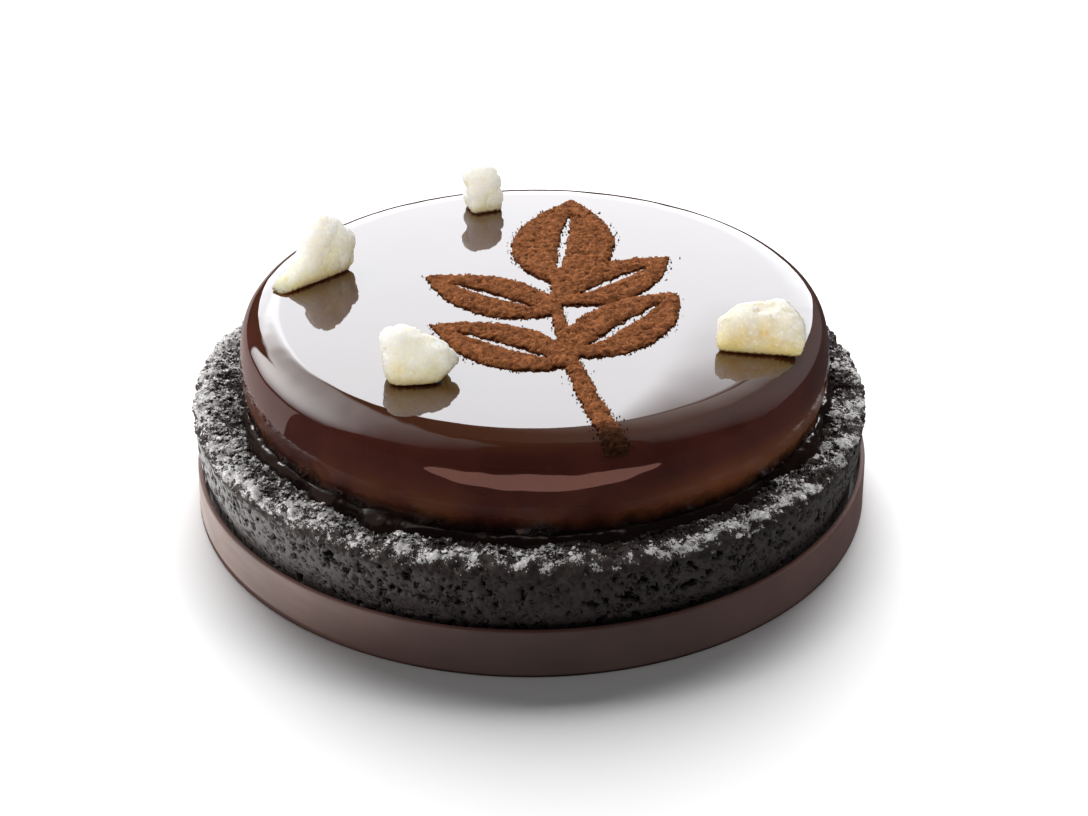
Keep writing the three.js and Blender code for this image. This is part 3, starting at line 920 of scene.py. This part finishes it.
def sprigInside(flat):  # how far each point lies inside the sprig, in mm, less than 0 outside
    own = sprigSettings
    best = np.full(len(flat), -9.0)
    for step in range(own["stemSteps"] + 1):
        along = step / own["stemSteps"]
        spot, heading = stemSpot(along)
        half = own["stemHalf"][0] + along * (own["stemHalf"][1] - own["stemHalf"][0])
        best = np.maximum(best, half - np.hypot(*(flat - spot).T))
    t = np.linspace(0, 1, own["leafSteps"])
    early, late = 3 * t * (1 - t) ** 2, 3 * t * t * (1 - t)
    leafAlong = early * own["leafFoot"][0] + late * own["leafTip"][0] + t ** 3
    leafOut = early * own["leafFoot"][1] + late * own["leafTip"][1]
    for along, turn, length, width in sprigLeaves:
        spot, heading = stemSpot(along)
        lead = math.atan2(heading[1], heading[0]) + math.radians(turn)
        axis = np.array([math.cos(lead), math.sin(lead)])
        forward = (flat - spot) @ axis / length
        aside = np.abs((flat - spot) @ np.array([-axis[1], axis[0]]))
        half = np.interp(forward, leafAlong, leafOut * width / 2, left=0, right=0)
        ends = np.minimum(forward, 1 - forward) * length
        inside = np.minimum((half - aside) * 0.9, ends)
        share = np.clip((forward - own["veinFrom"]) / (own["veinTo"] - own["veinFrom"]), 0, 1)
        vein = own["veinHalf"] * 4 * share * (1 - share)
        inside = np.minimum(inside, np.where(vein > 0.02, aside - vein, 9.0))
        best = np.maximum(best, inside)
    return best


def cocoaDust(name, loose):
    own = sprigSettings
    material, tree, skin = newMaterial(name, {"Specular IOR Level": 0.12, "Roughness": 0.95})
    place = objectPlace(tree)
    clumps = noiseField(tree, place, 0.8, 5, 0.7)
    grain = noiseField(tree, place, 0.2, 4, 0.65)
    tone = mix(tree, fade(tree, clumps, 0.34, 0.68), own["deep"], own["light"])
    tone = mix(tree, fade(tree, grain, 0.56, 0.74, 0, 0.6), tone, own["speck"])
    if loose:
        tone = mix(tree, 0.25, tone, own["loose"])
    else:
        # painted shade: the hollows between the clumps are darker
        tone = mix(tree, fade(tree, painted(tree, "sunkBy"), 0.02, 0.26, 0, 0.9), tone, own["sunkShade"])
    wet = fade(tree, placeAlong(tree, "Y"), -30.0, -33.4)  # the stem's foot has drunk glaze
    feed(tree, skin, {
        "Base Color": mix(tree, times(tree, wet, 0.9), tone, own["wet"]),
        "Normal": bumpNormal(tree, plus(tree, grain, clumps), 1.0, 0.34),
    })
    return material


def makeSprig():
    own = sprigSettings
    shift = domeSettings["shift"]
    low, high = np.array(own["low"]), np.array(own["high"])
    cells = np.ceil((high - low) / own["cell"]).astype(int)
    sprig = startPiece("cocoa_sprig", bpy.ops.mesh.primitive_grid_add, x_subdivisions=int(cells[0]),
                       y_subdivisions=int(cells[1]), size=mm)
    points = readPoints(sprig)
    points[:, :2] = points[:, :2] * (high - low) + (low + high) / 2
    ragged = own["ragged"] * (noiseAt(points, 0.8, 5) + 0.7 * noiseAt(points, 0.4, 6))
    inside = sprigInside(points[:, :2])
    inside = np.where(inside > own["raggedFrom"], inside + ragged, inside)
    inside = np.minimum(inside, own["reach"] - radiusFrom(points))
    points[:, 0] += shift
    writePoints(sprig, points)
    pickPoints(sprig, inside < 0)
    editOn(sprig)
    bpy.ops.mesh.delete(type="VERT")
    editOff()

    points = readPoints(sprig)  # what is left is laid on the dome and heaped up
    inside = np.clip(sprigInside(points[:, :2] - (shift, 0)), 0, 2)
    heap = own["edgeDepth"] + (own["depth"] - own["edgeDepth"]) * ease(inside, 0, own["heapWidth"])
    points[:, 2] = domeHeight(radiusFrom(points, shift)) + heap
    writePoints(sprig, points)
    facing = np.array([face.normal.z for face in sprig.data.polygons])
    cutFiner(sprig, facing < own["steep"], own["steepCuts"])
    smooth = readPoints(sprig)
    displaceLayers(sprig, cocoaLayers, 0.6)
    displaceLayers(sprig, heapLayers)
    points = readPoints(sprig)
    points[:, 2] = np.maximum(points[:, 2], domeHeight(radiusFrom(points, shift)) + own["gap"])
    writePoints(sprig, points)
    setAttribute(sprig, "sunkBy", np.clip(smooth[:, 2] - points[:, 2], 0, 1))
    applyModifier(sprig, "body", "SOLIDIFY", thickness=own["body"] * mm, offset=-1.0)
    finishPiece(sprig, cocoaDust("cocoaDust", False), "mirror_glaze", "glazed_dome")

    rng = np.random.default_rng(own["seed"])  # grains that lie beside it
    tries = rng.uniform(low, high, (own["tries"], 2))
    inside = sprigInside(tries) + own["stray"] * rng.normal(size=len(tries))
    near = np.exp(-np.abs(np.minimum(inside, 0)) / own["strayReach"])
    near *= np.where(inside > 0.5, own["fewInside"], 1.0) * (radiusFrom(tries) < own["grainReach"])
    spots = tries[rng.choice(len(tries), own["grains"], replace=False, p=near / near.sum())]
    size = someSizes(rng, own["grainSize"], own["grainLean"], len(spots))
    deep = ease(sprigInside(spots), 0.1, own["heapWidth"]) * own["depth"]
    heights = domeHeight(radiusFrom(spots)) + own["grainLift"] * size + deep
    places = np.column_stack([spots[:, 0] + shift, spots[:, 1], heights])
    grains = scatterLumps("cocoa_grains", modelLumps("cocoaSpeck", 4, 0.35, 0.5, 1), places, size, rng)
    finishPiece(grains, cocoaDust("cocoaGrain", True), "mirror_glaze")


makeSprig()


# candied ginger

gingerSettings = {
    "pieces": ("left", "back", "front", "right"), "voxel": 0.17, "smoothPasses": 2, "offGlaze": (0.1, 1.2),
    "crystals": 200, "crystalSize": (0.05, 0.14), "crystalLean": (1.2, 2.8), "crystalLift": 0.03,
    "crystalFrom": 0.15, "seed": 29, "fibres": (1, 1, 4),
    "low": ((0.9, 0.78, 0.5), (0.87, 0.65, 0.27)), "high": ((0.84, 0.82, 0.76), (0.72, 0.68, 0.6)),
    "tip": (0.94, 0.93, 0.9), "lit": (0.97, 0.955, 0.91), "fibre": (0.87, 0.8, 0.6),
    "sugar": (0.93, 0.92, 0.9), "amber": (0.88, 0.62, 0.24), "brownEdge": (0.2, 0.08, 0.025),
    "crystalTones": ((0.84, 0.8, 0.7), (0.95, 0.94, 0.91)),
}
gingerLayers = [  # texture name, kind, size and depth in mm, ramp
    ("gingerDents", "CLOUDS", 2.4, 0.5, None),
    ("gingerFlakes", "VORONOI", 1.5, 0.36, [(0.0, 1.0), (0.5, 0.8), (0.72, 0.15), (1.0, 0.0)]),
    ("gingerSugar", "CLOUDS", 0.3, 0.16, None),
]


def candiedGinger():
    own = gingerSettings
    material, tree, skin = newMaterial("candiedGinger", {
        "IOR": 1.45, "Specular IOR Level": 0.5, "Subsurface Weight": 1.0, "Subsurface Scale": 0.006,
        "Subsurface Radius": (1.0, 0.86, 0.6)})
    place = objectPlace(tree)
    rise = minus(tree, placeAlong(tree, "Z"), domeSettings["top"])
    clouds = noiseField(tree, place, 2.4, 3, 0.6)
    sugar = noiseField(tree, place, 0.5, 4, 0.7)
    fine = noiseField(tree, place, 0.16, 3, 0.65)
    fibres = noiseField(tree, stretched(tree, place, own["fibres"]), 1.6, 4, 0.65, 0.4)  # they lie flat
    right = fade(tree, placeAlong(tree, "X"), 8.0, 22.0)  # the thick lump is the yellowest
    low = mix(tree, right, *own["low"])
    high = mix(tree, right, *own["high"])
    tone = mix(tree, fade(tree, timesPlus(tree, clouds, 6.0, rise), 2.8, 7.2), low, high)
    tone = mix(tree, fade(tree, rise, 4.2, 7.4), tone, own["tip"])
    far = fade(tree, placeAlong(tree, "Y"), 0.0, 12.0, 0.0, 0.6)  # light shines through these
    tone = mix(tree, far, tone, own["lit"])
    tone = mix(tree, fade(tree, fibres, 0.5, 0.7, 0, 0.4), tone, own["fibre"])
    tone = mix(tree, fade(tree, sugar, 0.52, 0.7, 0, 0.6), tone, own["sugar"])
    tone = mix(tree, fade(tree, rise, 1.8, 0.4, 0, 0.6), tone, own["amber"])
    brownEdge = fade(tree, timesPlus(tree, sugar, 0.9, rise), 0.95, 0.6)  # brown at the glaze
    relief = timesPlus(tree, fibres, 2.2, plus(tree, sugar, fine))
    feed(tree, skin, {
        "Base Color": mix(tree, brownEdge, tone, own["brownEdge"]),
        "Roughness": fade(tree, sugar, 0.3, 0.7, 0.2, 0.5),
        "Normal": bumpNormal(tree, relief, 0.5, 0.16),
    })
    return material


def sugarCrystal():
    material, tree, skin = newMaterial("sugarCrystal", {
        "IOR": 1.54, "Roughness": 0.18, "Subsurface Weight": 0.5, "Subsurface Scale": 0.001})
    tint = noiseField(tree, objectPlace(tree), 1.2, 2)
    feed(tree, skin, {"Base Color": mix(tree, tint, *gingerSettings["crystalTones"])})
    return material


def makeGinger():
    own = gingerSettings
    top = domeSettings["top"]
    rng = np.random.default_rng(own["seed"])
    material = candiedGinger()
    spots = []
    for label in own["pieces"]:
        piece = nodeCopy("ginger_" + label, "ginger_" + label + "_candied")
        applyModifier(piece, "fineSkin", "REMESH", mode="VOXEL", voxel_size=own["voxel"] * mm)
        applyModifier(piece, "soften", "SMOOTH", factor=0.5, iterations=own["smoothPasses"])
        setGroup(piece, "offGlaze", ease(readPoints(piece)[:, 2] - top, *own["offGlaze"]))
        displaceLayers(piece, gingerLayers, group="offGlaze")
        finishPiece(piece, material, "candied_ginger", "ginger_" + label)
        points = readPoints(piece)
        chosen = rng.choice(len(points), own["crystals"], replace=False)
        spots.append(points[chosen] + readVectors(piece, "normal")[chosen] * own["crystalLift"])
    places = np.concatenate(spots)
    places = places[places[:, 2] > top + own["crystalFrom"]]
    size = someSizes(rng, own["crystalSize"], own["crystalLean"], len(places))
    crystals = scatterLumps("ginger_sugar", modelLumps("sugarCrystal", 3, 0.2, 0.8, 1), places, size, rng)
    finishPiece(crystals, sugarCrystal(), "candied_ginger")


makeGinger()


# floor, light and camera

studio = {
    "floorSize": 4.0, "floorTone": (0.95, 0.95, 0.95), "floorShade": (0.84, 0.84, 0.84),
    "floorBounce": (0.6, 0.6, 0.6), "floorGleam": (0.03, 0.03, 0.03),
    "white": (1, 1, 1), "roomTone": 0.1, "roomGleam": 0.02, "target": (0, 0, 0.015),
    "eye": (0.0, -0.20108, 0.12761), "sight": (0.007, 0.8623, -0.5064), "lens": 59.46,
}
leftShape = {"size": (1.1, 1.0), "lights": "tart", "notch": (0.355, 0.385), "edge": (0.855, 0.363)}
fillShape = {"size": (0.5, 0.5), "hidden": True}
leftStrip = {"size": (0.52, 0.56), "fadeEnd": (0.908, 0.988)}
panels = {  # at is azimuth, elevation and distance in m, glow a bright spot's place and reach
    "backPanel": {"at": (2.5, 21.2, 0.55), "size": (0.57, 0.29), "radiance": 4.85, "lights": "tart",
                  "tint": (0.93, 0.962, 1.0),
                  "softTop": ((0.39, 0.51, 0.3, 0.02), (0.68, 0.86, 0.0, 0.3))},
    "backHaze": {"at": (6, 48, 0.55), "size": (0.7, 0.24), "radiance": 1.4, "lights": "dome",
                 "glow": (0.36, -0.72, 0.33, 1.6)},
    "leftSoftbox": {"at": (-62, 42, 0.55), "radiance": 3.35, "glow": (0.435, 0.305, 0.67, 0.45),
                    **leftShape},
    "leftHaze": {"at": (-62, 42, 0.56), "radiance": 0.6, "glow": (0.475, 0.41, 0.88, 0.79), **leftShape},
    "rightHaze": {"at": (55, 36, 0.55), "size": (1.2, 0.9), "radiance": 0.33, "lights": "tart",
                  "glow": (0.43, 0.38, 0.6, 1.2)},
    "topFill": {"at": (8, 62, 0.62), "radiance": 2.6, "lights": "cake", **fillShape},
    "leftFill": {"at": (-80, 30, 0.6), "radiance": 2.4, "lights": "foot", **fillShape},
    "rightFill": {"at": (62, 42, 0.6), "radiance": 2.4, "lights": "foot", **fillShape},
    "gingerFill": {"at": (190, 30, 0.6), "size": (0.6, 0.5), "radiance": 3.4, "lights": "ginger",
                   "hidden": True, "tint": (1.0, 0.96, 0.88)},
    "gingerGlow": {"at": (-20, 38, 0.6), "size": (0.6, 0.5), "radiance": 1.4, "lights": "ginger",
                   "hidden": True, "tint": (1.0, 0.97, 0.9)},
    "runHaze": {"at": (-50, 42, 0.52), "size": (0.9, 0.6), "radiance": 0.3, "lights": "run",
                "tint": (1.0, 0.72, 0.62)},
    "runTop": {"at": (175, 80, 0.5), "size": (0.4, 0.25), "radiance": 1.1, "lights": "run",
               "tint": (1.0, 0.85, 0.8), "glow": (0.5, 0.5, 0.5, 0.5)},
    "leftGlint": {"at": (-40, 36, 0.5), "size": (0.12, 0.08), "radiance": 11.0, "lights": "run"},
    "rightGlint": {"at": (30, 32, 0.5), "size": (0.14, 0.08), "radiance": 8.0, "lights": "run"},
    "floorFill": {"at": (180, 50, 0.8), "size": (0.6, 0.6), "radiance": 0.38, "lights": "floor",
                  "hidden": True},
    "floorLight": {"at": (-5, 45, 0.75), "size": (0.75, 0.75), "radiance": 8.6, "lights": "floor",
                   "hidden": True},
}
cards = {  # lit cards lying on the floor, middle and size in m
    "leftCard": {"middle": (-0.27, -0.02, 0.0005), "radiance": 2.5, "lights": "crumb", **leftStrip},
    "bandCard": {"middle": (-0.27, -0.02, 0.0007), "radiance": 3.3, "lights": "band", "gleamOnly": True,
                 "tint": (0.96, 1.0, 0.96), **leftStrip},
    "paleFloorCard": {"middle": (0.0, 0.0, 0.0003), "size": (1.2, 1.2), "radiance": 0.15,
                      "lights": "foot"},
    "frontCard": {"middle": (0.01, -0.2, 0.0005), "size": (0.27, 0.2), "radiance": 0.84,
                  "lights": "dome", "shape": "ELLIPSE", "tint": (1.0, 0.5, 0.4)},
    "backLeftCard": {"middle": (-0.14, 0.14, 0.0005), "size": (0.18, 0.3), "radiance": 0.55,
                     "lights": "dome", "tint": (1.0, 0.82, 0.78)},
}


def makeFloor():
    floor = startPiece("floor", bpy.ops.mesh.primitive_plane_add, size=studio["floorSize"])
    material, tree, skin = newMaterial("paleFloor", {"Roughness": 0.7, "Specular IOR Level": 0.1})
    shade = times(tree, noiseField(tree, objectPlace(tree), 60.0, 2), 0.04)
    tone = mix(tree, shade, studio["floorTone"], studio["floorShade"])
    ray = addNode(tree, "LightPath").outputs
    bounced = mix(tree, ray["Is Glossy Ray"], studio["floorBounce"], studio["floorGleam"])
    feed(tree, skin, {"Base Color": mix(tree, ray["Is Camera Ray"], bounced, tone)})
    floor.data.materials.append(material)
    return floor


def makeWorld():
    world = bpy.data.worlds.new("paleRoom")
    bpy.context.scene.world = world
    world.use_nodes = True
    tree = world.node_tree
    tree.nodes.clear()
    ray = addNode(tree, "LightPath").outputs
    backdrop, room = addNode(tree, "Background"), addNode(tree, "Background")
    strength = fade(tree, ray["Is Glossy Ray"], 0, 1, studio["roomTone"], studio["roomGleam"])
    feed(tree, backdrop, {"Color": studio["white"]})
    feed(tree, room, {"Color": studio["white"], "Strength": strength})
    both = addNode(tree, "MixShader")
    feed(tree, both, {0: ray["Is Camera Ray"], 1: room.outputs[0], 2: backdrop.outputs[0]})
    feed(tree, addNode(tree, "OutputWorld"), {"Surface": both.outputs[0]})


def softenLight(data, settings):  # a bright spot, an end that fades, or a soft top edge
    data.use_nodes = True
    tree = data.node_tree
    tree.nodes.clear()
    spot = axesOf(tree, addNode(tree, "NewGeometry").outputs["Parametric"])
    across, up = spot["X"], spot["Y"]
    if "glow" in settings:
        middle, level, wide, high = settings["glow"]
        aside = over(tree, minus(tree, across, middle), wide)
        above = over(tree, minus(tree, up, level), high)
        away = calc("SQRT", tree, plus(tree, times(tree, aside, aside), times(tree, above, above)))
        strength = fade(tree, away, 0.0, 1.0, 1.0, 0.0)
    elif "fadeEnd" in settings:
        strength = fade(tree, across, *settings["fadeEnd"], 1.0, 0.0)
    else:
        right, left = (fade(tree, across, *stretch) for stretch in settings["softTop"])
        strength = fade(tree, up, 1.0, minus(tree, 1.0, plus(tree, right, left)))
    if "notch" in settings:  # the corner towards the back panel is dark
        side, sill = settings["notch"]
        kept = larger(tree, fade(tree, across, side, side + 0.02), fade(tree, up, sill, sill + 0.05))
        slope, start = settings["edge"]  # and it ends in a slanting edge
        past = plus(tree, timesPlus(tree, up, -slope, across), start)
        strength = times(tree, times(tree, strength, kept), fade(tree, past, -0.01, 0.02))
    shine = addNode(tree, "Emission")
    feed(tree, shine, {"Strength": strength})
    feed(tree, addNode(tree, "OutputLight"), {"Surface": shine.outputs[0]})


def addLight(name, settings, litGroups):
    data = bpy.data.lights.new(name, "AREA")
    data.shape = settings.get("shape", "RECTANGLE")
    data.size, data.size_y = settings["size"]
    data.energy = settings["radiance"] * math.pi * data.size * data.size_y
    data.color = settings.get("tint", studio["white"])
    if any(key in settings for key in ("glow", "softTop", "fadeEnd")):
        softenLight(data, settings)
    light = linkPiece(bpy.data.objects.new(name, data))
    light.visible_camera = False
    light.visible_glossy = not settings.get("hidden", False)
    light.visible_diffuse = not settings.get("gleamOnly", False)
    light.light_linking.receiver_collection = litGroups[settings["lights"]]
    return light


def makeLights(litGroups):
    for name, panel in panels.items():
        azimuth, elevation, distance = panel["at"]
        a, e = math.radians(azimuth), math.radians(elevation)
        away = Vector((math.sin(a) * math.cos(e), math.cos(a) * math.cos(e), math.sin(e)))
        light = addLight(name, panel, litGroups)
        light.location = Vector(studio["target"]) + away * distance
        light.rotation_euler = (-away).to_track_quat("-Z", "Y").to_euler()
    for name, card in cards.items():
        light = addLight(name, card, litGroups)
        light.location = card["middle"]
        light.rotation_euler = (math.pi, 0, 0)  # shines up


def makeCamera():
    data = bpy.data.cameras.new("camera")
    data.lens = studio["lens"]
    data.sensor_width = 36
    data.clip_start = 0.01
    camera = linkPiece(bpy.data.objects.new("camera", data))
    camera.location = studio["eye"]
    camera.rotation_euler = Vector(studio["sight"]).to_track_quat("-Z", "Y").to_euler()
    bpy.context.scene.camera = camera


def groupByLight():  # which pieces each group of lights falls on
    names = [piece.name for piece in bpy.context.scene.collection.all_objects if piece.type == "MESH"]
    crumb = ["brownie_base_crumb", "brownie_crumbs", "icing_sugar"]
    members = {
        "tart": [name for name in names if name != "glaze_run"], "run": ["glaze_run"],
        "ginger": [name for name in names if name.startswith("ginger")],
        "cake": [name for name in names if not name.startswith("ginger")],
        "crumb": crumb, "foot": crumb + ["chocolate_band_soft"], "band": ["chocolate_band_soft"],
        "dome": ["glazed_dome_mirror"], "floor": [makeFloor().name],
    }
    groups = {}
    for group, pieces in members.items():
        groups[group] = bpy.data.collections.new(group + "Lit")
        for name in pieces:
            groups[group].objects.link(bpy.data.objects[name])
    return groups


makeLights(groupByLight())
makeWorld()
makeCamera()
bpy.context.scene.view_settings.view_transform = "Standard"
print("studio set")
